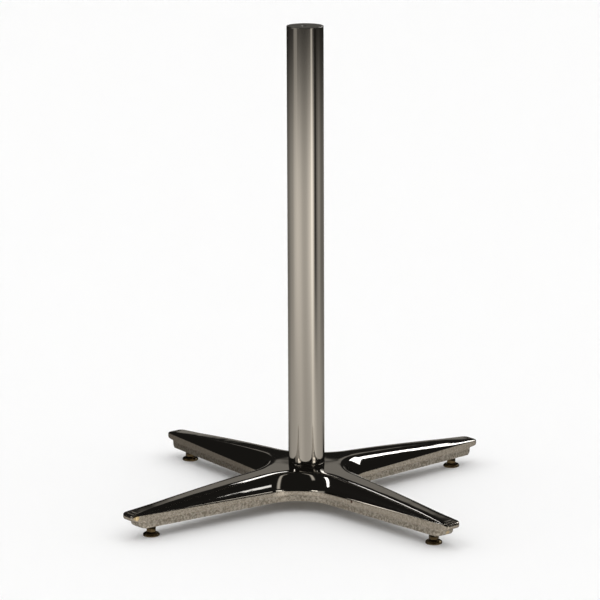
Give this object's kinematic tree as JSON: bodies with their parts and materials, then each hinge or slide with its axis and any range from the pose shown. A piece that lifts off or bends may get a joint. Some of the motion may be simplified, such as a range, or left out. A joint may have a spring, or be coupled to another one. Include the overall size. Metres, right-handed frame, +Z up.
{
  "type": "bar table base",
  "caption": "Tall pedestal base for a bar table: chromed tube column on a plated cast cross of tapering legs with screw levelling feet.",
  "frame": {"origin": "on the floor, under the middle of the column", "axes": "+Z up along the column; the legs lie on the diagonals between +X and +Y; the pictured front faces -Y"},
  "size_m": [0.6824, 0.6824, 1.008],
  "materials": {
    "casting": "bright chrome plate: polished on the crown, rough as-cast grain showing through on the skirt",
    "column": "mirror-bright chrome plate on polished steel tube",
    "plug": "turned steel, bright zinc",
    "zinc_steel": "bright zinc plate",
    "foot_steel": "dark bronze-tinted plating, glossy"
  },
  "bodies": {
    "base": {"base_casting": "casting", "column_tube": "column", "column_top_plug": "plug", "tie_rod": "zinc_steel", "hub_washer": "zinc_steel", "hub_spring_washer": "zinc_steel", "hub_nut": "zinc_steel"},
    "foot_back_right": {"foot_screw_back_right": "foot_steel", "foot_cup_back_right": "foot_steel"},
    "foot_back_left": {"foot_screw_back_left": "foot_steel", "foot_cup_back_left": "foot_steel"},
    "foot_front_left": {"foot_screw_front_left": "foot_steel", "foot_cup_front_left": "foot_steel"},
    "foot_front_right": {"foot_screw_front_right": "foot_steel", "foot_cup_front_right": "foot_steel"}
  },
  "joints": [
    {"name": "foot_back_right_travel", "type": "slide", "parent": "base", "child": "foot_back_right", "axis": [0, 0, 1], "range_m": [-0.01, 0.0065]},
    {"name": "foot_back_left_travel", "type": "slide", "parent": "base", "child": "foot_back_left", "axis": [0, 0, 1], "range_m": [-0.01, 0.0065]},
    {"name": "foot_front_left_travel", "type": "slide", "parent": "base", "child": "foot_front_left", "axis": [0, 0, 1], "range_m": [-0.01, 0.0065]},
    {"name": "foot_front_right_travel", "type": "slide", "parent": "base", "child": "foot_front_right", "axis": [0, 0, 1], "range_m": [-0.01, 0.0065]}
  ]
}
